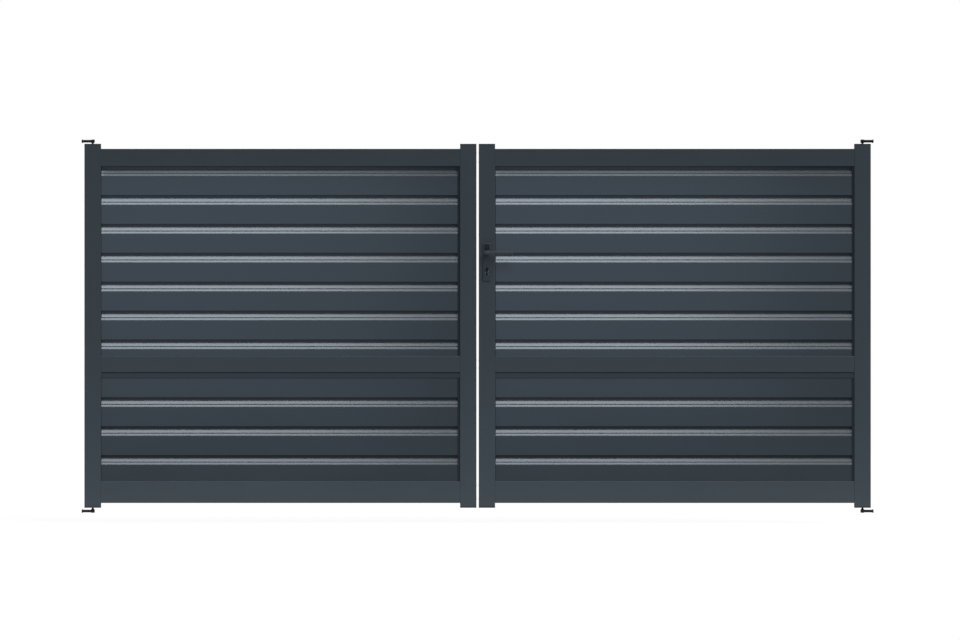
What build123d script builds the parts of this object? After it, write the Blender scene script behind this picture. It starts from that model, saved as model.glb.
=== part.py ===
from build123d import *
from math import ceil
import os

# Louvred aluminium double swing gate. Millimetres; +X along the gate, -Y the street side, +Z up.
# The origin is on the pillar face, at the middle of the left bottom hinge's flange.

# Opening, leaves and frame tubes
opening_width = 3480.0        # pillar face to pillar face
pivot_offset = 47.5           # pillar face to hinge axis, which is the middle of the hinge stile
leaf_gap = 10.0               # between the two meeting stiles
leaf_height = 1600.0          # a stile with its caps
stile_width = 72.0
frame_depth = 50.0
frame_wall = 2.0
frame_radius = 2.0            # outside corner of every frame tube
cap_thickness = 6.0

# Rails, with heights above the foot of the stiles
bottom_rail_foot = 21.0
bottom_rail_height = 95.5
middle_rail_foot = 597.3
middle_rail_height = 70.0
top_rail_height = 75.7
top_rail_drop = 22.0          # below the tops of the stiles

# Louvre slats: hollow, the same front and back, each sitting on the tongue of the one below
slat_pitch = 127.0
slat_head_gap = 1.0           # from the top slat's seat up to the top rail
slat_depth = 35.0             # over the two lips
slat_wall = 1.4
face_height = 84.8            # the near-vertical face, from the lip up to the nose
face_lean = 1.0               # how far the face leans back over that height
neck_width = 6.0              # the upright neck over the slopes, seat of the slat above
neck_height = 13.5
tongue_width = 3.0
tongue_height = 12.0
tongue_play = 0.2             # each side of the tongue
nose_radius = 8.0
lip_radius = 1.2
bead_height = 11.4            # from the nose up to the fine groove in the slope
bead_groove_width = 4.0
bead_groove_depth = 1.6
cavity_top = 4.0              # solid metal under the seat

# Slat channel: an upside-down U under the middle rail, over the head of the slats below
channel_height = 26.5
channel_wall = 1.3
channel_play = 0.2            # each side of a slat's lips

# Hinge arms
flange_thickness = 4.0
flange_depth = 80.0
flange_height = 14.0
flange_hole_diameter = 6.6
flange_hole_spacing = 60.0
arm_width = 18.0
arm_thickness = 11.5
arm_radius = 3.0
boss_diameter = 18.0
boss_height = 15.0
boss_radius = 3.0
collar_diameter = 15.0
collar_rise = 1.25            # the cone ends this far from the stile cap
pin_diameter = 8.0
pin_engagement = 18.0
pin_play = 0.05               # radial
pin_end_play = 0.3
bottom_gap = 9.0              # between the bottom arms and the stiles
top_gap = 6.0                 # between the stiles and the top arms

# Stile caps
cap_plug_depth = 14.0
pivot_plug_depth = 28.0
plug_play = 0.2
cap_chamfer = 1.0

# Lock, handle and strike
lever_height = 1120.0         # spindle above the foot of the stiles
cylinder_drop = 72.0          # spindle down to the key cylinder
backplate_width = 34.0
backplate_height = 165.0
backplate_thickness = 8.0
backplate_rise = 43.0         # spindle up to the top of the backplate
backplate_radius = 5.0
backplate_edge = 2.5
lever_neck_diameter = 16.0
collar_ring_diameter = 22.0
collar_ring_thickness = 3.0
lever_neck_reach = 28.0       # backplate to the back of the grip
lever_neck_play = 0.05
ring_play = 0.3
grip_length = 115.0           # spindle to the tip
grip_heel = 11.0              # spindle to the rounded heel
grip_height = 13.5
grip_thickness = 12.0
grip_radius = 4.5
spindle_side = 8.0
spindle_socket = 22.0
spindle_hole_diameter = 16.0
cylinder_head_diameter = 17.0
cylinder_leg_width = 10.0
cylinder_height = 33.0
cylinder_stand_out = 3.0
cylinder_play = 0.2
key_slot_width = 2.2
key_slot_height = 8.5
key_slot_depth = 8.0
case_thickness = 15.0
case_width = 54.0
case_above_spindle = 55.0
case_below_cylinder = 13.5    # from the foot of the key cylinder
plate_width = 24.0            # lock faceplate and strike plate
faceplate_height = 235.0
strike_height = 180.0
plate_thickness = 2.0
plate_play = 0.2
latch_width = 12.0
latch_height = 24.0
latch_rise = 18.0             # spindle up to the middle of the latch
dead_bolt_height = 34.0       # at the height of the key cylinder
bolt_play = 0.5

# Places worked out from the sizes above
leaf_width = (opening_width - 2 * pivot_offset + stile_width - leaf_gap) / 2
left_leaf_x = pivot_offset - stile_width / 2
right_leaf_x = left_leaf_x + leaf_width + leaf_gap
leaf_foot = arm_thickness / 2 + bottom_gap
top_arm_z = leaf_foot + leaf_height + top_gap + arm_thickness / 2
bay_width = leaf_width - 2 * stile_width
front = -frame_depth / 2
top_rail_foot = leaf_height - top_rail_drop - top_rail_height
first_lip = top_rail_foot - slat_head_gap - slat_pitch
lower_bay = (bottom_rail_foot + bottom_rail_height, middle_rail_foot - channel_wall)
upper_bay = (middle_rail_foot + middle_rail_height, top_rail_foot)
slat_rows = ceil((first_lip + slat_pitch - lower_bay[0]) / slat_pitch)
nose_half = slat_depth / 2 - face_lean
slope_height = slat_pitch - neck_height - face_height
slope_run = nose_half - neck_width / 2
slope_tilt = Vector(slope_height, slope_run).normalized()
lever_z = leaf_foot + lever_height
cylinder_z = lever_z - cylinder_drop
lock_x = right_leaf_x + stile_width / 2


def save(shape, node):
    export_step(shape, f"parts/{node}.step")


def along_y(sketch, y_from, y_to):
    """Extrude an X-Z sketch from y_from to y_to, both along the Y axis."""
    plane = Plane(origin=(0, y_to, 0), x_dir=(1, 0, 0), z_dir=(0, -1, 0))
    return extrude(plane * sketch, y_to - y_from)


def tube_section(width, height):
    """Rounded rectangular tube wall."""
    bore = RectangleRounded(width - 2 * frame_wall, height - 2 * frame_wall, frame_radius / 2)
    return RectangleRounded(width, height, frame_radius) - bore


def stile(x_middle):
    tube = extrude(tube_section(stile_width, frame_depth), leaf_height - 2 * cap_thickness)
    return Pos(x_middle, 0, leaf_foot + cap_thickness) * tube


def rail(leaf_x, foot, height):
    tube = extrude(Plane.YZ * tube_section(frame_depth, height), bay_width)
    return Pos(leaf_x + stile_width, 0, leaf_foot + foot + height / 2) * tube


def slope_point(drop, inset):
    """A point on the slat's slope, drop below its top and inset square to its surface."""
    half = neck_width / 2 + slope_run * drop / slope_height
    return (half - inset * slope_tilt.X, slat_pitch - neck_height - drop - inset * slope_tilt.Y)


def shoulder(inset):
    """The corner between the neck and the slope, inset square to both."""
    return slope_point(-inset * (1 - slope_tilt.X) * slope_height / slope_run, inset)


def bead_groove(inset):
    """The fine groove across the slope, as three points from its upper edge to its lower edge."""
    middle = slope_height - bead_height
    return [
        slope_point(middle - bead_groove_width / 2, inset),
        slope_point(middle, inset + bead_groove_depth),
        slope_point(middle + bead_groove_width / 2, inset),
    ]


def both_sides(half_outline):
    """Close a right-hand outline, listed from top to bottom, with its mirror image."""
    mirrored = [(-y, z) for y, z in reversed(half_outline)]
    return make_face(Polyline(*half_outline, *mirrored, close=True))


def slat_section():
    """Hollow slat: lip and groove at the foot, leaning faces, slopes, neck and a tongue on top."""
    groove_half = tongue_width / 2 + tongue_play
    outline = both_sides(
        [
            (tongue_width / 2, slat_pitch + tongue_height),
            (tongue_width / 2, slat_pitch),
            (neck_width / 2, slat_pitch),
            shoulder(0),
        ]
        + bead_groove(0)
        + [(nose_half, face_height), (slat_depth / 2, 0), (groove_half, 0), (groove_half, tongue_height)]
    )
    noses = outline.vertices().filter_by(lambda v: abs(v.Y - face_height) < 0.01)
    outline = fillet(noses, nose_radius)
    lips = outline.vertices().filter_by(lambda v: abs(v.Y) < 0.01 and abs(v.X) > neck_width)
    outline = fillet(lips, lip_radius)
    cavity = both_sides(
        [(neck_width / 2 - slat_wall, slat_pitch - cavity_top), shoulder(slat_wall)]
        + bead_groove(slat_wall)
        + [
            (nose_half - slat_wall, face_height - slat_wall / 2),
            (slat_depth / 2 - slat_wall, slat_wall),
            (groove_half + slat_wall, slat_wall),
            (groove_half + slat_wall, tongue_height + slat_wall),
        ]
    )
    return outline - cavity


def slats(leaf_x, name):
    """The slats of one leaf, those at the rails trimmed along their length to seat on them.

    The rows keep one pitch from the top rail down, also across the middle rail.
    A cut through the groove in a slat's foot frees a thin strip, which isn't kept.
    """
    full = extrude(Plane.YZ * slat_section(), bay_width)
    lips = [first_lip - row * slat_pitch for row in range(slat_rows)]
    number = 0
    for foot, head in (upper_bay, lower_bay):
        bay = Box(bay_width, frame_depth, head - foot, align=(Align.MIN, Align.CENTER, Align.MIN))
        bay = Pos(0, 0, foot) * bay
        for lip in lips:
            if lip < head and lip + slat_pitch > foot:
                number += 1
                trimmed = ((Pos(0, 0, lip) * full) & bay).solids().sort_by(SortBy.VOLUME)[-1]
                save(Pos(leaf_x + stile_width, 0, leaf_foot) * trimmed, f"{name}_slat_{number:02d}")


def slat_channel(leaf_x, name):
    """Open channel screwed to the foot of the middle rail."""
    width = slat_depth + 2 * (channel_play + channel_wall)
    inside = Pos(0, -channel_wall) * Rectangle(width - 2 * channel_wall, channel_height)
    channel = extrude(Plane.YZ * (Rectangle(width, channel_height) - inside), bay_width)
    height = leaf_foot + middle_rail_foot - channel_height / 2
    save(Pos(leaf_x + stile_width, 0, height) * channel, f"{name}_slat_channel")


def stile_cap(depth, bored):
    """Plastic plug for a stile end, its cover plate from z = 0 up and the plug below it."""
    cover = extrude(RectangleRounded(stile_width, frame_depth, frame_radius), cap_thickness)
    cover = chamfer(cover.edges().group_by(Axis.Z)[-1], cap_chamfer)
    inset = 2 * (frame_wall + plug_play)
    plug = extrude(RectangleRounded(stile_width - inset, frame_depth - inset, frame_radius), -depth)
    cap = cover + plug
    if bored:
        down = (Align.CENTER, Align.CENTER, Align.MAX)
        hole = Cylinder(pin_diameter / 2 + pin_play, pin_engagement + pin_end_play, align=down)
        cap -= Pos(0, 0, cap_thickness) * hole
    return cap


def caps(leaf_x, hinge_on_left, name):
    left_x = leaf_x + stile_width / 2
    right_x = leaf_x + leaf_width - stile_width / 2
    solids = []
    for x, hinged in ((left_x, hinge_on_left), (right_x, not hinge_on_left)):
        cap = stile_cap(pivot_plug_depth if hinged else cap_plug_depth, hinged)
        solids.append(Pos(x, 0, leaf_foot + leaf_height - cap_thickness) * cap)
        solids.append(Pos(x, 0, leaf_foot + cap_thickness) * mirror(cap, Plane.XY))
    save(Compound(solids), f"{name}_stile_caps")


def hinge_arm(gap):
    """Bottom left hinge arm: flange on the pillar face at x = 0, pin pointing up at the hinge axis."""
    flange = extrude(Plane.YZ * SlotOverall(flange_depth, flange_height), flange_thickness)
    for y in (-flange_hole_spacing / 2, flange_hole_spacing / 2):
        hole = Rot(0, 90, 0) * Cylinder(flange_hole_diameter / 2, flange_thickness)
        flange -= Pos(flange_thickness / 2, y, 0) * hole
    bar = Box(pivot_offset, arm_width, arm_thickness, align=(Align.MIN, Align.CENTER, Align.CENTER))
    bar = fillet(bar.edges().filter_by(Axis.X), arm_radius)
    boss = Cylinder(boss_diameter / 2, boss_height)
    boss = fillet(boss.edges().filter_by(GeomType.CIRCLE), boss_radius)
    stile_end = arm_thickness / 2 + gap
    cone_top = stile_end - collar_rise
    cone_foot = boss_height / 2 - boss_radius
    up = (Align.CENTER, Align.CENTER, Align.MIN)
    cone = Cone(collar_diameter / 2, pin_diameter / 2, cone_top - cone_foot, align=up)
    pin = Cylinder(pin_diameter / 2, stile_end + pin_engagement, align=up)
    pin = chamfer(pin.edges().group_by(Axis.Z)[-1], pin_diameter / 10)
    return flange + bar + Pos(pivot_offset, 0, 0) * (boss + Pos(0, 0, cone_foot) * cone + pin)


def hinges():
    bottom = hinge_arm(bottom_gap)
    top = Pos(0, 0, top_arm_z) * mirror(hinge_arm(top_gap), Plane.XY)
    across = Plane(origin=(opening_width / 2, 0, 0), z_dir=(1, 0, 0))
    save(bottom, "left_bottom_hinge")
    save(top, "left_top_hinge")
    save(mirror(bottom, across), "right_bottom_hinge")
    save(mirror(top, across), "right_top_hinge")


def cylinder_section(play):
    """Key cylinder outline about its plug: a round head with a narrower leg below."""
    leg_reach = cylinder_height - cylinder_head_diameter / 2 - cylinder_leg_width / 2
    leg = Rectangle(cylinder_leg_width + 2 * play, leg_reach, align=(Align.CENTER, Align.MAX))
    foot = Pos(0, -leg_reach) * Circle(cylinder_leg_width / 2 + play)
    return Circle(cylinder_head_diameter / 2 + play) + leg + foot


def edge_plate(x_face, inward, height, z_middle, windows):
    """Flat plate let into a stile edge, with a window for each bolt as (height, z)."""
    plate = Box(plate_thickness, plate_width - 2 * plate_play, height - 2 * plate_play)
    plate = fillet(plate.edges().filter_by(Axis.X), frame_radius)
    plate = Pos(x_face + inward * plate_thickness / 2, 0, z_middle) * plate
    for window_height, z in windows:
        window = Box(plate_thickness, latch_width + 2 * bolt_play, window_height + 2 * bolt_play)
        plate -= Pos(x_face + inward * plate_thickness / 2, 0, z) * window
    return plate


def edge_slot(x_face, inward, height, z_middle):
    """What is cut from the stile edge for such a plate."""
    slot = fillet(Box(frame_wall, plate_width, height).edges().filter_by(Axis.X), frame_radius)
    return Pos(x_face + inward * frame_wall / 2, 0, z_middle) * slot


def lock():
    """Meeting stile of the right leaf, bored for the lock, with all that is fixed in and on it."""
    latch_z = lever_z + latch_rise
    plate_z = (latch_z + cylinder_z) / 2
    windows = [(latch_height, latch_z), (dead_bolt_height, cylinder_z)]
    at_lever = Pos(lock_x, lever_z)
    at_cylinder = Pos(lock_x, cylinder_z)

    right_face = right_leaf_x
    body = stile(lock_x)
    body -= edge_slot(right_face, 1, faceplate_height, plate_z)
    body -= along_y(at_lever * Circle(spindle_hole_diameter / 2), front, -front)
    body -= along_y(at_cylinder * cylinder_section(cylinder_play), front, -front)
    save(body, "right_meeting_stile")
    save(edge_plate(right_face, 1, faceplate_height, plate_z, windows), "right_lock_faceplate")

    case_x = right_face + plate_thickness + case_width / 2
    case_head = lever_z + case_above_spindle
    case_foot = cylinder_z + cylinder_head_diameter / 2 - cylinder_height - case_below_cylinder
    case = Box(case_width, case_thickness, case_head - case_foot)
    case = Pos(case_x, 0, (case_head + case_foot) / 2) * case
    case -= along_y(at_lever * Circle(spindle_hole_diameter / 2), front, -front)
    case -= along_y(at_cylinder * cylinder_section(cylinder_play), front, -front)
    for bolt_height, z in windows:
        case += Pos(right_face + plate_thickness / 2, 0, z) * Box(plate_thickness, latch_width, bolt_height)
    save(case, "right_lock_case")

    left_face = left_leaf_x + leaf_width
    strike_stile = stile(left_face - stile_width / 2) - edge_slot(left_face, -1, strike_height, plate_z)
    save(strike_stile, "left_meeting_stile")
    save(edge_plate(left_face, -1, strike_height, plate_z, windows), "left_strike_plate")

    key_half = frame_depth / 2 + backplate_thickness + cylinder_stand_out
    cylinder = along_y(at_cylinder * cylinder_section(0), -key_half, key_half)
    key_slot = at_cylinder * Rectangle(key_slot_width, key_slot_height)
    cylinder -= along_y(key_slot, -key_half, key_slot_depth - key_half)
    cylinder -= along_y(key_slot, key_half - key_slot_depth, key_half)
    save(cylinder, "key_cylinder")

    outline = RectangleRounded(backplate_width, backplate_height, backplate_radius)
    outline = Pos(lock_x, lever_z + backplate_rise - backplate_height / 2) * outline
    backplate = along_y(outline, front - backplate_thickness, front)
    backplate = fillet(backplate.edges().group_by(Axis.Y)[0], backplate_edge)
    neck_hole = at_lever * Circle(lever_neck_diameter / 2 + lever_neck_play)
    backplate -= along_y(neck_hole, front - backplate_thickness, front)
    backplate -= along_y(at_cylinder * cylinder_section(cylinder_play), front - backplate_thickness, front)
    save(Compound([backplate, mirror(backplate, Plane.XZ)]), "handle_backplates")


def lever():
    """Outside lever with its neck in the backplate, the inside one like it, and the square spindle."""
    plate_face = front - backplate_thickness
    grip_back = plate_face - lever_neck_reach
    at_lever = Pos(lock_x, lever_z)
    neck_end = at_lever * Circle(lever_neck_diameter / 2)
    neck = along_y(neck_end, grip_back - grip_thickness / 2, front - ring_play)
    ring_back = plate_face - ring_play
    ring_end = at_lever * Circle(collar_ring_diameter / 2)
    ring = along_y(ring_end, ring_back - collar_ring_thickness, ring_back)
    ring = fillet(ring.edges().group_by(Axis.Y)[0], collar_ring_thickness / 3)
    grip_middle = Pos(lock_x + (grip_length - grip_heel) / 2, lever_z)
    grip = along_y(grip_middle * Rectangle(grip_length + grip_heel, grip_height),
                   grip_back - grip_thickness, grip_back)
    grip = fillet(grip.edges(), grip_radius)
    socket = along_y(at_lever * Rectangle(spindle_side, spindle_side), front - spindle_socket, front)
    outside = neck + ring + grip - socket
    save(Compound([outside, mirror(outside, Plane.XZ)]), "handle_levers")
    spindle_half = frame_depth / 2 + spindle_socket
    spindle = along_y(at_lever * Rectangle(spindle_side, spindle_side), -spindle_half, spindle_half)
    save(spindle, "lever_spindle")


def frame(leaf_x, name):
    save(rail(leaf_x, bottom_rail_foot, bottom_rail_height), f"{name}_bottom_rail")
    save(rail(leaf_x, middle_rail_foot, middle_rail_height), f"{name}_middle_rail")
    save(rail(leaf_x, top_rail_foot, top_rail_height), f"{name}_top_rail")
    slats(leaf_x, name)
    slat_channel(leaf_x, name)


os.makedirs("parts", exist_ok=True)
frame(left_leaf_x, "left")
frame(right_leaf_x, "right")
save(stile(pivot_offset), "left_hinge_stile")
save(stile(opening_width - pivot_offset), "right_hinge_stile")
caps(left_leaf_x, True, "left")
caps(right_leaf_x, False, "right")
hinges()
lock()
lever()
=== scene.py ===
import math

import bmesh
import bpy
from mathutils import Matrix, Vector


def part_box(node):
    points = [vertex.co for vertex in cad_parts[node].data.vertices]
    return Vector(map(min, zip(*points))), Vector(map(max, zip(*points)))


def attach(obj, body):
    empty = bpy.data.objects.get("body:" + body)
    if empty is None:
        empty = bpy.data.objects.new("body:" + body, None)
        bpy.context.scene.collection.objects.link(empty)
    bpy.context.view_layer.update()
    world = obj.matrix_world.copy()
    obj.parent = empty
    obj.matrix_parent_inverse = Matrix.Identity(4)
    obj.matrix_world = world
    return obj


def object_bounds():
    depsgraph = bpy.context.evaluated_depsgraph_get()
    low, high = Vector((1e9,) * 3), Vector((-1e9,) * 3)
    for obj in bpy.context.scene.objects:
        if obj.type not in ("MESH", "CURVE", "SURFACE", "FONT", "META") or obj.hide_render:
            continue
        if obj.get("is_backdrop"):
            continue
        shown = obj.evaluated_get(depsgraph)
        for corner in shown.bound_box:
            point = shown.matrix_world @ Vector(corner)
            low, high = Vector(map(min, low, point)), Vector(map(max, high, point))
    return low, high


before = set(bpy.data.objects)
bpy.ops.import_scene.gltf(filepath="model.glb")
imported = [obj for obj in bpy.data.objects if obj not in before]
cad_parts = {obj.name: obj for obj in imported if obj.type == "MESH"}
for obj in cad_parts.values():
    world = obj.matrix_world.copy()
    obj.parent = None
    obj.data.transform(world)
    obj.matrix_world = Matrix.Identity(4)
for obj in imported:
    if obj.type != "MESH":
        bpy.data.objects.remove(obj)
cad_low, cad_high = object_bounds()

# Stiles and rails: extruded aluminium tubes, the rails butted between the stiles and screwed from
# the stile edges. They are powder coated together in satin anthracite, with a fine orange-peel
# skin, and a little dust settles on what faces up.
anthracite = (0.0265, 0.0375, 0.0458, 1.0)
frame_roughness = 0.36
pale_patch, dark_patch = 1.12, 0.9
patch_waves, speckle_waves, speckle_share = 1.7, 1400.0, 0.3
gloss_waves, gloss_swing = 4.0, 0.07
peel_waves, peel_depth = 420.0, 0.00002
grain_waves, grain_depth = 1900.0, 0.000004
pale_dust = (0.23, 0.22, 0.2, 1.0)
dusty_rise, level_rise = 0.6, 1.0
dust_waves, dust_patches, dust_least, dust_dulls = 9.0, 0.35, 0.02, 0.5


class Shade:
    """One output of a shader node. Arithmetic on it adds the Math nodes that work it out."""

    def __init__(self, tree, socket=None):
        self.tree = tree
        self.socket = socket

    def node(self, kind, settings=None, inputs=None, output=0):
        """Add a node to the same tree: its settings first, then a value or a link for each input."""
        made = self.tree.nodes.new("ShaderNode" + kind)
        for name, value in (settings or {}).items():
            setattr(made, name, value)
        for name, value in (inputs or {}).items():
            if isinstance(value, Shade):
                self.tree.links.new(value.socket, made.inputs[name])
            else:
                made.inputs[name].default_value = value
        return Shade(self.tree, made.outputs[output] if made.outputs else None)

    def math(self, operation, first, second):
        return self.node("Math", {"operation": operation}, {0: first, 1: second})

    def __add__(self, other):
        return self.math("ADD", self, other)

    def __sub__(self, other):
        return self.math("SUBTRACT", self, other)

    def __rsub__(self, other):
        return self.math("SUBTRACT", other, self)

    def __mul__(self, other):
        return self.math("MULTIPLY", self, other)

    __radd__ = __add__
    __rmul__ = __mul__

    def blend(self, first, second, share):
        """Mix two colours, share of the second over the first."""
        return self.node("Mix", {"data_type": "RGBA"}, {0: share, 6: first, 7: second}, output=2)

    def stretched(self, scale):
        """The object's own coordinates, in metres, stretched along each axis."""
        place = self.node("TexCoord", output="Object")
        return self.node("VectorMath", {"operation": "MULTIPLY"}, {0: place, 1: scale})

    def noise(self, waves, detail, stretch=(1.0, 1.0, 1.0)):
        """Noise of this many waves to the metre, with finer ones added as detail grows."""
        inputs = {"Vector": self.stretched(stretch), "Scale": waves, "Detail": detail}
        return self.node("TexNoise", {}, inputs)

    def facing_up(self, least, most):
        """0 where the surface's normal rises less than least, 1 where it rises more than most."""
        normal = self.node("NewGeometry", output="Normal")
        rise = self.node("SeparateXYZ", {}, {"Vector": normal}, output="Z")
        return self.node("MapRange", {}, {"Value": rise, "From Min": least, "From Max": most})

    def relief(self, height, depth, over=None):
        """Bump of this depth in metres, laid over another one where given."""
        inputs = {"Height": height, "Distance": depth, "Strength": 1.0}
        if over:
            inputs["Normal"] = over
        return self.node("Bump", {}, inputs)


def surfaced(name, make):
    """A material whose surface is what the function gives for an empty node tree."""
    material = bpy.data.materials.new(name)
    material.use_nodes = True
    material.node_tree.nodes.clear()
    start = Shade(material.node_tree)
    start.node("OutputMaterial", {}, {"Surface": make(start)})
    return material


def finish(name, **sockets):
    """A material of the gate: each socket takes the value given, or what the given function makes."""
    def make(start):
        inputs = {}
        for label, given in sockets.items():
            socket = label.replace("_", " ").title().replace("Ior", "IOR")
            inputs[socket] = given(start) if callable(given) else given
        return start.node("BsdfPrincipled", {}, inputs)
    return surfaced(name, make)


def toned(colour, share):
    """The colour with this share of its light."""
    return tuple(c * share for c in colour[:3]) + (1.0,)


def dust(coat):
    """Share of settled dust: thin and patchy, on upward faces alone."""
    patches = coat.noise(dust_waves, detail=4.0) * dust_patches + dust_least
    return coat.facing_up(dusty_rise, level_rise) * patches


def coat_colour(colour):
    """Powder coat of this colour: faint batch patches, fine speckle and dust."""
    def make(coat):
        patches = coat.noise(patch_waves, detail=3.0) * (1 - speckle_share)
        mottle = patches + coat.noise(speckle_waves, detail=1.0) * speckle_share
        powder = coat.blend(toned(colour, dark_patch), toned(colour, pale_patch), mottle)
        return coat.blend(powder, pale_dust, dust(coat))
    return make


def coat_roughness(middle):
    def make(coat):
        swing = coat.noise(gloss_waves, detail=4.0) * gloss_swing
        return swing + dust(coat) * dust_dulls + (middle - gloss_swing / 2)
    return make


def orange_peel(depth, grain):
    """Long soft waves of the flowed powder, and the fine grain on them."""
    def make(coat):
        waves = coat.relief(coat.noise(peel_waves, detail=1.0), depth)
        return coat.relief(coat.noise(grain_waves, detail=2.0), grain, waves)
    return make


def dress(material, nodes):
    """Give CAD nodes this material alone."""
    for node in nodes:
        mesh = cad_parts[node].data
        mesh.materials.clear()
        mesh.materials.append(material)


frame_coat = finish("frame_coat", base_color=coat_colour(anthracite),
                    roughness=coat_roughness(frame_roughness),
                    normal=orange_peel(peel_depth, grain_depth))
dress(frame_coat, [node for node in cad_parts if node.endswith(("_stile", "_rail"))])

# Louvre slats: hollow extrusions from one die, each hooked over the tongue of the slat below.
# They are coated like the frame and come out a little smoother, over the faint lengthwise lines
# that the die leaves.
slat_anthracite = (0.0261, 0.0354, 0.0428, 1.0)
slat_roughness = 0.25
slat_peel_depth = 0.000015
die_line_stretch, die_line_depth = (0.6, 260.0, 260.0), 0.00003


def die_lines(coat):
    lines = coat.noise(1.0, detail=3.0, stretch=die_line_stretch)
    return coat.relief(lines, die_line_depth, orange_peel(slat_peel_depth, grain_depth)(coat))


slat_coat = finish("slat_coat", base_color=coat_colour(slat_anthracite),
                   roughness=coat_roughness(slat_roughness), normal=die_lines)
channels = [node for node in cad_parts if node.endswith("_slat_channel")]
dress(slat_coat, [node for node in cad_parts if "_slat_" in node and node not in channels])

# Slat channels: a thin extruded channel under each middle rail takes in the head of the lower
# slats. Its coat is quite matt, and its colour is painted darker than the frame's: painted shade
# that stands for the shade the middle rail above casts on it.
# Painted shade: this colour is darkened below the frame's to stand for the shade under the middle rail.
channel_painted_shade_grey = (0.0148, 0.0222, 0.0298, 1.0)
channel_roughness, channel_specular = 0.45, 0.4
channel_coat = finish("channel_coat", base_color=coat_colour(channel_painted_shade_grey),
                      roughness=coat_roughness(channel_roughness),
                      normal=orange_peel(peel_depth, grain_depth), specular_ior_level=channel_specular)
dress(channel_coat, channels)

# Stile caps: black-grey polypropylene plugs pushed into the stile ends, moulded with a fine
# spark-eroded grain. The ones at the pivots are bored for the hinge pins.
cap_grey = (0.0105, 0.0132, 0.0165, 1.0)
cap_roughness, cap_specular = 0.55, 0.4
pale_plastic, cloud_waves = 1.3, 30.0
pit_waves, pit_depth = 1500.0, 0.00002


def plastic_colour(colour):
    """Plastic or rubber of this colour, faintly clouded, with dust."""
    def make(plastic):
        clouds = plastic.noise(cloud_waves, detail=4.0)
        body = plastic.blend(colour, toned(colour, pale_plastic), clouds)
        return plastic.blend(body, pale_dust, dust(plastic))
    return make


def moulded_grain(plastic):
    inputs = {"Vector": plastic.stretched((1.0, 1.0, 1.0)), "Scale": pit_waves}
    return plastic.relief(plastic.node("TexVoronoi", {}, inputs), pit_depth)


cap_plastic = finish("cap_plastic", base_color=plastic_colour(cap_grey), roughness=cap_roughness,
                     normal=moulded_grain, specular_ior_level=cap_specular)
dress(cap_plastic, ["left_stile_caps", "right_stile_caps"])

# Hinge arms: forged steel, shot blasted and dipped in black enamel, so the skin keeps a soft
# unevenness. Each arm's flange is screwed to the pillar, and its pin stands in a stile cap.
enamel_black = (0.0042, 0.0047, 0.0055, 1.0)
rubbed_black = (0.012, 0.0125, 0.0135, 1.0)
rub_waves, rub_share = 120.0, 0.8
enamel_specular, enamel_roughness = 0.25, 0.33
dull_waves, dull_swing = 60.0, 0.2
dip_waves, dip_depth = 900.0, 0.00001
forged_waves, forged_depth = 95.0, 0.00035


def enamel(black):
    return black.blend(enamel_black, rubbed_black, black.noise(rub_waves, detail=5.0) * rub_share)


def forged_skin(black):
    forged = black.relief(black.noise(forged_waves, detail=3.0), forged_depth)
    return black.relief(black.noise(dip_waves, detail=2.0), dip_depth, forged)


def enamel_dullness(black):
    return black.noise(dull_waves, detail=4.0) * dull_swing + enamel_roughness


hinge_black = finish("hinge_black", base_color=enamel, roughness=enamel_dullness,
                     normal=forged_skin, specular_ior_level=enamel_specular)
dress(hinge_black, [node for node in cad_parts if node.endswith("_hinge")])

# Lock: zinc-plated case in the meeting stile behind a brushed stainless faceplate, and the brushed
# strike plate opposite. Each plate is let in flush and held by two countersunk screws.
steel_grey = (0.46, 0.46, 0.45, 1.0)
steel_pale = (0.62, 0.62, 0.61, 1.0)
steel_roughness, brush_swing = 0.25, 0.2
brush_stretch, brush_depth = (1.0, 900.0, 6.0), 0.00003
sharp_angle = math.radians(35)


def brushed(steel):
    return steel.noise(1.0, detail=4.0, stretch=brush_stretch)


lock_steel = finish("lock_steel", metallic=1.0,
                    base_color=lambda steel: steel.blend(steel_grey, steel_pale, brushed(steel)),
                    roughness=lambda steel: brushed(steel) * brush_swing + steel_roughness,
                    normal=lambda steel: steel.relief(brushed(steel), brush_depth))
dress(lock_steel, ["right_lock_case", "right_lock_faceplate", "left_strike_plate", "lever_spindle"])


def closed_mesh(name, bm, material):
    """Mesh of what was built, smooth but for its sharp edges, in this material."""
    bmesh.ops.recalc_face_normals(bm, faces=bm.faces)
    mesh = bpy.data.meshes.new(name)
    bm.to_mesh(mesh)
    bm.free()
    mesh.shade_smooth()
    mesh.set_sharp_from_angle(angle=sharp_angle)
    mesh.materials.append(material)
    return mesh


def join_rings(bm, first, second):
    """Faces between two rings of as many points."""
    for i in range(len(first)):
        after = (i + 1) % len(first)
        bm.faces.new((first[i], first[after], second[after], second[i]))


def turned(name, profile, material, steps):
    """Mesh of a profile, as (radius, height) from the rim in to the middle, turned about +Z."""
    bm = bmesh.new()
    rings = []
    for radius, height in profile:
        turns = (step * math.tau / steps for step in range(steps if radius else 1))
        rings.append([bm.verts.new((radius * math.cos(t), radius * math.sin(t), height)) for t in turns])
    for outer, inner in zip(rings, rings[1:]):
        if len(inner) == 1:
            for i in range(steps):
                bm.faces.new((outer[i], outer[(i + 1) % steps], inner[0]))
        else:
            join_rings(bm, outer, inner)
    return closed_mesh(name, bm, material)


def set_in(name, mesh, place, outward, body):
    """Set a piece made facing +Z at a place in the row frame, facing outward, on its body."""
    piece = bpy.data.objects.new(name, mesh)
    bpy.context.scene.collection.objects.link(piece)
    turn = Vector(outward).to_track_quat("Z", "Y").to_matrix().to_4x4()
    piece.matrix_world = Matrix.Translation(place) @ turn
    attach(piece, body)
    return piece


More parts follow.
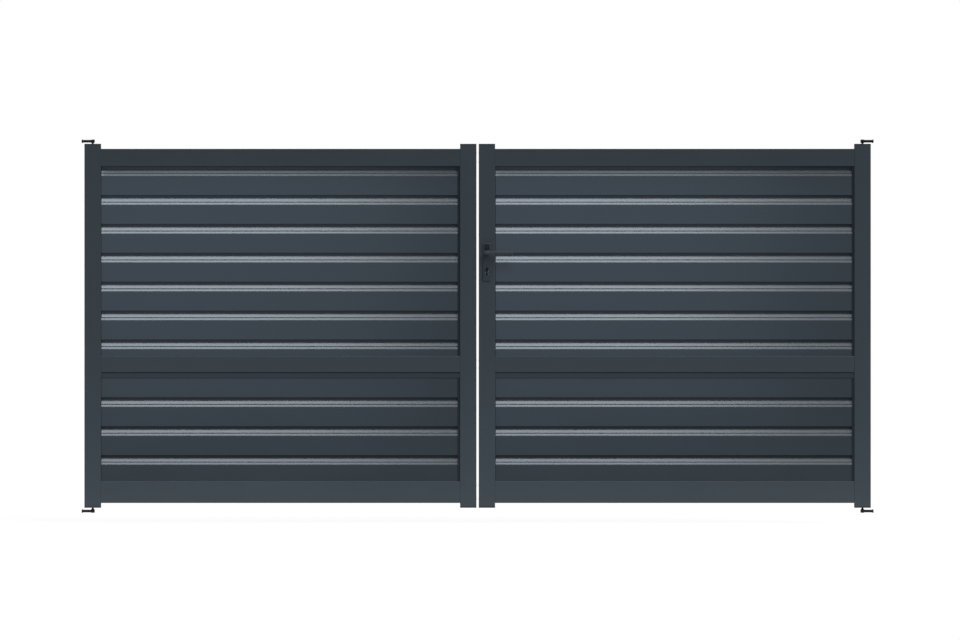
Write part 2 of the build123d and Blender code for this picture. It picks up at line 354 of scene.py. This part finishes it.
screw_radius, screw_skirt, screw_rise = 0.0038, 0.0004, 0.0003
socket_radius, socket_lip = screw_radius * 0.42, 1.12
socket_depth, socket_tip = 0.0015, 0.0017
screw_inset = 0.011
screw_profile = [(screw_radius, -screw_skirt), (screw_radius, 0.0), (screw_radius - screw_rise, screw_rise),
                 (socket_radius * socket_lip, screw_rise), (socket_radius, 0.0),
                 (socket_radius, -socket_depth), (0, -socket_tip)]
plate_screw = turned("countersunk_screw", screw_profile, lock_steel, steps=24)
for plate, body, side in (("right_lock_faceplate", "right_leaf", -1), ("left_strike_plate", "left_leaf", 1)):
    low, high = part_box(plate)
    face_x = low.x if side < 0 else high.x
    for end, z in (("bottom", low.z + screw_inset), ("top", high.z - screw_inset)):
        set_in(f"{plate}_{end}_screw", plate_screw, (face_x, 0, z), (side, 0, 0), body)

# Shade strips: dark rubber-like strips in the corners between slats and stiles, set against the
# stiles on both faces of each bay, are painted shade: their dark colour stands for the shade in
# the corners where the slats meet the stiles. A narrow strip lies at the slats' left-hand ends,
# and a wide one at their right-hand ends, where the shade is wider.
# Painted shade: this near-black colour stands for the shade in the corners between slats and stiles.
shade_strip_black = (0.007, 0.0112, 0.0165, 1.0)
shade_strip_roughness, shade_strip_specular = 0.7, 0.2
skin_waves, skin_depth = 700.0, 0.00003
wide_shade_strip, narrow_shade_strip = 0.0105, 0.0023
shade_strip_thickness, shade_strip_roll, shade_strip_play = 0.003, 0.0015, 0.0001
shade_strip_rubber = finish("shade_strip_rubber", base_color=plastic_colour(shade_strip_black), roughness=shade_strip_roughness,
                     normal=lambda rubber: rubber.relief(rubber.noise(skin_waves, detail=3.0), skin_depth),
                     specular_ior_level=shade_strip_specular)


def shade_strip_mesh(name, length, reach, side, steps=6):
    """Painted-shade strip on z = 0, lying along x = 0, as wide as its reach, with its face toward -Y times
    side.
    """
    toward = math.copysign(1.0, reach)
    outline = [(0.0, 0.0), (0.0, -side * shade_strip_thickness)]
    for step in range(steps + 1):
        angle = math.pi / 2 * step / steps
        outline.append((reach - toward * shade_strip_roll * (1 - math.sin(angle)),
                        side * (shade_strip_roll * (1 - math.cos(angle)) - shade_strip_thickness)))
    outline.append((reach, 0.0))
    bm = bmesh.new()
    foot, head = ([bm.verts.new((x, y, z)) for x, y in outline] for z in (0.0, length))
    join_rings(bm, foot, head)
    bm.faces.new(foot)
    bm.faces.new(list(reversed(head)))
    return closed_mesh(name, bm, shade_strip_rubber)


for leaf, left_stile, right_stile in (("left", "left_hinge_stile", "left_meeting_stile"),
                                      ("right", "right_meeting_stile", "right_hinge_stile")):
    left_end = ("left_end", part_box(left_stile)[1].x, narrow_shade_strip)
    right_end = ("right_end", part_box(right_stile)[0].x, -wide_shade_strip)
    bottom_rail, middle_rail, top_rail, channel = (
        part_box(f"{leaf}_{part}") for part in ("bottom_rail", "middle_rail", "top_rail", "slat_channel"))
    lower_bay = ("lower", bottom_rail[1].z, channel[0].z)
    upper_bay = ("upper", middle_rail[1].z, top_rail[0].z)
    slat_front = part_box(f"{leaf}_slat_02")[0].y
    for bay, foot, head in (lower_bay, upper_bay):
        for end, stile_x, reach in (left_end, right_end):
            for face, side in (("front", 1), ("back", -1)):
                name = f"{leaf}_{bay}_{end}_{face}_seal"
                shade_strip = bpy.data.objects.new(name, shade_strip_mesh(name, head - foot, reach, side))
                bpy.context.scene.collection.objects.link(shade_strip)
                shade_strip.location = (stile_x, side * (slat_front - shade_strip_play), foot)
                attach(shade_strip, f"{leaf}_leaf")

# Rail screws: each rail is drawn up by two long screws at either end, put in through the stile's
# outer edge, and a low black plug closes each screw's hole.
plug_radius, plug_rise = 0.006, 0.0004
plug_from_rail_edge = 0.018
plug_dome = ((1.0, 0.0), (1.0, 0.4), (0.93, 0.7), (0.75, 0.9), (0.4, 1.0), (0.0, 1.0))
plug_profile = [(plug_radius * out, plug_rise * up) for out, up in plug_dome]
plug_mesh = turned("rail_screw_plug", plug_profile, cap_plastic, steps=28)
for leaf in ("left", "right"):
    hinge_side = -1 if leaf == "left" else 1
    for stile, side in (("hinge", hinge_side), ("meeting", -hinge_side)):
        low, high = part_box(f"{leaf}_{stile}_stile")
        edge_x = low.x if side < 0 else high.x
        for rail in ("bottom", "middle", "top"):
            rail_low, rail_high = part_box(f"{leaf}_{rail}_rail")
            lower_z = rail_low.z + plug_from_rail_edge
            upper_z = rail_high.z - plug_from_rail_edge
            for end, z in (("lower", lower_z), ("upper", upper_z)):
                set_in(f"{leaf}_{stile}_{rail}_{end}_plug", plug_mesh, (edge_x, 0, z), (side, 0, 0),
                       f"{leaf}_leaf")

# Handle: cast aluminium levers and backplates, coated like the frame but darker and smoother, the
# two plates drawn together by through screws. A black snap-in cover hides the upper screw.
handle_grey = (0.0195, 0.0285, 0.036, 1.0)
lever_grey = (0.0235, 0.0322, 0.0405, 1.0)
plate_roughness, lever_roughness = 0.38, 0.33
cast_peel_depth, cast_grain_depth = 0.00001, 0.000003
plate_coat = finish("handle_plate_coat", base_color=coat_colour(handle_grey),
                    roughness=coat_roughness(plate_roughness),
                    normal=orange_peel(cast_peel_depth, cast_grain_depth))
lever_coat = finish("handle_lever_coat", base_color=coat_colour(lever_grey),
                    roughness=coat_roughness(lever_roughness),
                    normal=orange_peel(cast_peel_depth, cast_grain_depth))
dress(plate_coat, ["handle_backplates"])
dress(lever_coat, ["handle_levers"])


def rounded_pad(name, width, height, rise, corner, edge, material, steps=6):
    """Flat pad facing +Z, its four corners round and its upper edge rolled over."""
    bm = bmesh.new()
    rings = []
    for turn in range(steps + 1):
        angle = math.pi / 2 * turn / steps
        reach = corner - edge * (1 - math.cos(angle))
        level = rise - edge + edge * math.sin(angle)
        ring = []
        for quarter, (right, up) in enumerate(((1, 1), (-1, 1), (-1, -1), (1, -1))):
            for step in range(steps + 1):
                around = math.pi / 2 * (quarter + step / steps)
                ring.append(bm.verts.new((right * (width / 2 - corner) + reach * math.cos(around),
                                          up * (height / 2 - corner) + reach * math.sin(around), level)))
        rings.append(ring)
    base = [bm.verts.new((v.co.x, v.co.y, 0)) for v in rings[0]]
    rings.insert(0, base)
    for lower, upper in zip(rings, rings[1:]):
        join_rings(bm, lower, upper)
    bm.faces.new(rings[-1])
    bm.faces.new(list(reversed(base)))
    return closed_mesh(name, bm, material)


cover_colour = (0.003, 0.0048, 0.0068, 1.0)
cover_roughness, cover_specular = 0.5, 0.3
cover_width, cover_height, cover_rise = 0.022, 0.026, 0.0012
cover_corner, cover_edge = 0.003, 0.0006
cover_drop = 0.0165
cover_black = finish("screw_cover_black", base_color=plastic_colour(cover_colour), roughness=cover_roughness,
                     normal=moulded_grain, specular_ior_level=cover_specular)
cover_mesh = rounded_pad("screw_cover", cover_width, cover_height, cover_rise, cover_corner, cover_edge,
                         cover_black)
plate_low, plate_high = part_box("handle_backplates")
cover_x, cover_z = (plate_low.x + plate_high.x) / 2, plate_high.z - cover_drop
for name, y, side in (("outside", plate_low.y, -1), ("inside", plate_high.y, 1)):
    set_in(f"{name}_screw_cover", cover_mesh, (cover_x, y, cover_z), (0, side, 0),
           "right_leaf")

# Key cylinder: brass plated in black nickel, the same from both sides. Its plug turns in the round
# head, and the joint round the plug shows as a fine raised ring about the keyway.
nickel = (0.019, 0.025, 0.03, 1.0)
nickel_pale = (0.032, 0.041, 0.048, 1.0)
nickel_waves, nickel_roughness = 300.0, 0.45
handled_waves, handled_swing = 80.0, 0.15
blast_waves, blast_depth = 2500.0, 0.000004
ring_out, ring_in, ring_rise, ring_bevel = 0.0067, 0.0061, 0.0003, 0.0001


def nickel_plating(metal):
    return metal.blend(nickel, nickel_pale, metal.noise(nickel_waves, detail=4.0))


def handled_plating(metal):
    return metal.noise(handled_waves, detail=3.0) * handled_swing + nickel_roughness


cylinder_metal = finish("cylinder_metal", metallic=1.0, base_color=nickel_plating, roughness=handled_plating,
                        normal=lambda metal: metal.relief(metal.noise(blast_waves, detail=2.0), blast_depth))
dress(cylinder_metal, ["key_cylinder"])

head_low, head_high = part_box("key_cylinder")
head_radius = (head_high.x - head_low.x) / 2
plug_x, plug_z = (head_low.x + head_high.x) / 2, head_high.z - head_radius
ring_profile = [(ring_out, 0.0), (ring_out - ring_bevel, ring_rise), (ring_in + ring_bevel, ring_rise),
                (ring_in, 0.0)]
ring_mesh = turned("plug_ring", ring_profile, cylinder_metal, steps=40)
for name, y, side in (("outside", head_low.y, -1), ("inside", head_high.y, 1)):
    set_in(f"{name}_plug_ring", ring_mesh, (plug_x, y, plug_z), (0, side, 0),
           "right_leaf")

# Floor: a broad pale sheet just under the gate, which keeps the gate's shadow. It is seen almost as
# white as the room, and throws less light than that on the gate.
floor_drop, floor_reach = 0.045, 24.0
floor_grey = (0.55, 0.55, 0.55, 1.0)
room_white = (1.0, 1.0, 1.0, 1.0)
glow_share, glow_strength = 0.82, 1.14


def seen(start):
    """1 for camera, glossy and transmission rays, which show the white room, and 0 for all others."""
    camera, mirrored, through = (start.node("LightPath", output=f"Is {ray} Ray")
                                 for ray in ("Camera", "Glossy", "Transmission"))
    return start.math("MAXIMUM", start.math("MAXIMUM", camera, mirrored), through)


def pale_ground(ground):
    lit = ground.node("BsdfDiffuse", {}, {"Color": floor_grey})
    glow = ground.node("Emission", {}, {"Color": room_white, "Strength": glow_strength})
    return ground.node("MixShader", {}, {0: seen(ground) * glow_share, 1: lit, 2: glow})


def plane(name, corners, material):
    """Flat sheet of the studio."""
    mesh = bpy.data.meshes.new(name)
    mesh.from_pydata(corners, [], [(0, 1, 2, 3)])
    mesh.materials.append(material)
    piece = bpy.data.objects.new(name, mesh)
    bpy.context.scene.collection.objects.link(piece)
    piece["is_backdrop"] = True
    return piece


middle_x = (cad_low.x + cad_high.x) / 2
floor_z = cad_low.z - floor_drop
floor = plane("floor", [(middle_x + right * floor_reach, back * floor_reach, floor_z)
                        for right, back in ((-1, -1), (1, -1), (1, 1), (-1, 1))],
              surfaced("pale_floor", pale_ground))

# Room: white where it is seen, and dimmer as a source of light, so that the lamps shape the gate.
room_strength = 0.42
room = bpy.data.worlds.new("white_room")
bpy.context.scene.world = room
room.use_nodes = True
room.node_tree.nodes.clear()
walls = Shade(room.node_tree)
white = seen(walls)
room_light = {"Color": room_white, "Strength": white + (1 - white) * room_strength}
walls.node("OutputWorld", {}, {"Surface": walls.node("Background", {}, room_light)})

# Curtains: dark ones before and behind the gate, with their trains spread on the floor toward it.
# They show in its reflections alone: without them the white room would veil the satin coat.
curtain_glow = (0.11, 0.12, 0.135, 1.0)
curtain_distance, curtain_reach, curtain_height = 5.5, 9.0, 3.8
train_end, train_lift = 0.75, 0.004
curtain_grey = surfaced("curtain", lambda cloth: cloth.node("Emission", {}, {"Color": curtain_glow}))


def hide_from(piece, *rays):
    """Hide a sheet or a lamp of the studio from these kinds of ray."""
    for ray in rays:
        setattr(piece, f"visible_{ray}", False)


for name, side in (("front_curtain", -1), ("back_curtain", 1)):
    hem = (side * curtain_distance, floor_z + train_lift)
    head = (side * curtain_distance, curtain_height)
    train = (side * train_end, floor_z + train_lift)
    for sheet, (edge_y, edge_z) in ((name, head), (f"{name}_train", train)):
        left, right = middle_x - curtain_reach, middle_x + curtain_reach
        corners = [(left, *hem), (right, *hem), (right, edge_y, edge_z), (left, edge_y, edge_z)]
        curtain = plane(sheet, corners, curtain_grey)
        hide_from(curtain, "camera", "diffuse", "shadow", "transmission")

# Keys: a broad soft sun from the right, in front and above, and a weaker one from the left, behind
# and above, which lights the gate and not the floor.
sun_width = math.radians(40)
key_strength, key_toward = 2.15, (0.7, -1.0, 0.95)
back_strength, back_toward = 1.7, (-0.7, 1.0, 0.95)


def hung(name, light, toward):
    """Hang a light so that it shines against the direction toward."""
    lamp = bpy.data.objects.new(name, light)
    bpy.context.scene.collection.objects.link(lamp)
    lamp.rotation_euler = Vector(toward).to_track_quat("Z", "Y").to_euler()
    return lamp


def soft_sun(name, strength, toward):
    sun = bpy.data.lights.new(name, "SUN")
    sun.energy = strength
    sun.angle = sun_width
    return hung(name, sun, toward)


def gathered(name, pieces):
    """Collection of the pieces that a lamp lights or is shaded by."""
    collection = bpy.data.collections.new(name)
    for piece in pieces:
        collection.objects.link(piece)
    return collection


slats = {leaf: [piece for node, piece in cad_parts.items() if node.startswith(f"{leaf}_slat_")]
         for leaf in ("left", "right")}
all_slats = slats["left"] + slats["right"]
others = [piece for piece in bpy.context.scene.objects
          if piece.type == "MESH" and piece != floor and piece not in all_slats]
key_lamp = soft_sun("key", key_strength, key_toward)
back_lamp = soft_sun("back_key", back_strength, back_toward)
back_lamp.light_linking.receiver_collection = gathered("lit_by_back_key", others + all_slats)

# Boards, boxes and screens: a bounce board on the floor before and behind the gate lights all of it
# but the slats. Each leaf's slats alone have a soft box high in front, which shines in their slopes,
# and a pale screen facing them, which veils their faces.
board_depth, board_width, board_gap, board_lift = 1.0, 6.0, 0.1, 0.005
board_radiance, board_tint = 1.15, (0.88, 0.92, 1.0)
box_width, box_height, box_distance, box_inset = 2.2, 1.8, 5.0, 0.44
box_radiance, box_tint, box_rise = 8.5, (0.79, 0.9, 1.0), math.radians(53.5)
screen_width, screen_height, screen_distance, screen_inset = 2.2, 1.8, 3.0, 0.3
screen_radiance, screen_tint, screen_foot = 0.6, (0.62, 0.72, 1.0), 0.4


def area_lamp(name, width, height, radiance, tint, place, toward, receivers):
    """Rectangular lamp that shines on its receivers, from its place against the direction toward."""
    area = bpy.data.lights.new(name, "AREA")
    area.shape = "RECTANGLE"
    area.size = width
    area.size_y = height
    area.energy = radiance * math.pi * width * height
    area.color = tint
    lamp = hung(name, area, toward)
    lamp.location = place
    lamp.light_linking.receiver_collection = gathered(f"lit_by_{name}", receivers)
    hide_from(lamp, "camera")
    return lamp


for name, side in (("front_board", -1), ("back_board", 1)):
    board_place = (middle_x, side * (board_gap + board_depth / 2), floor_z + board_lift)
    board = area_lamp(name, board_width, board_depth, board_radiance, board_tint, board_place, (0, 0, -1),
                      others)
    hide_from(board, "glossy")

toward_box = Vector((0, -math.cos(box_rise), math.sin(box_rise)))
for leaf in ("left", "right"):
    leaf_edge = max(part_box(f"{leaf}_{stile}_stile")[1].x for stile in ("hinge", "meeting"))
    box_faces = Vector((leaf_edge - box_inset - box_width / 2, 0, (cad_low.z + cad_high.z) / 2))
    area_lamp(f"{leaf}_soft_box", box_width, box_height, box_radiance, box_tint,
              box_faces + toward_box * box_distance, toward_box, slats[leaf])
    screen_x = leaf_edge - screen_inset - screen_width / 2
    screen_place = (screen_x, -screen_distance, screen_foot + screen_height / 2)
    screen = area_lamp(f"{leaf}_screen", screen_width, screen_height, screen_radiance, screen_tint,
                       screen_place, (0, -1, 0), slats[leaf])
    hide_from(screen, "diffuse")

# Nets: a strip of black net in front of each leaf, level with its top rail's upper side, dims the
# soft box's light on the slope right under that rail. The key passes it.
net_reach, net_passes = 0.115, 0.35
net_tone = (net_passes, net_passes, net_passes, 1.0)
net_black = surfaced("net", lambda netting: netting.node("BsdfTransparent", {}, {"Color": net_tone}))
solid_pieces = [piece for piece in bpy.context.scene.objects if piece.type == "MESH"]
key_lamp.light_linking.blocker_collection = gathered("passed_by_key", solid_pieces)
for leaf in ("left", "right"):
    rail_low, rail_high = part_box(f"{leaf}_top_rail")
    near, far = rail_low.y, rail_low.y - net_reach
    corners = [(rail_low.x, near, rail_high.z), (rail_high.x, near, rail_high.z),
               (rail_high.x, far, rail_high.z), (rail_low.x, far, rail_high.z)]
    hide_from(plane(f"{leaf}_net", corners, net_black), "camera", "diffuse", "transmission")

# Camera: far off and level, square to the gate, so that nothing of its edges shows.
lens_mm, sensor_mm, view_end = 400.0, 36.0, 200.0
photo_width, photo_height = 960, 640
metres_per_pixel = 0.0043956
gate_left_pixel, gate_foot_pixel = 81.75, 507.8
stile_foot_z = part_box("left_stile_caps")[0].z
front_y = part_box("left_hinge_stile")[0].y
camera_data = bpy.data.cameras.new("camera")
camera_data.lens = lens_mm
camera_data.sensor_width = sensor_mm
camera_data.clip_end = view_end
camera = bpy.data.objects.new("camera", camera_data)
bpy.context.scene.collection.objects.link(camera)
distance = photo_width * metres_per_pixel * lens_mm / sensor_mm
camera.location = ((photo_width / 2 - gate_left_pixel) * metres_per_pixel, front_y - distance,
                   stile_foot_z + (gate_foot_pixel - photo_height / 2) * metres_per_pixel)
camera.rotation_euler = (math.radians(90), 0, 0)
bpy.context.scene.camera = camera

bpy.context.scene.view_settings.view_transform = "Standard"

low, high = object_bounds()
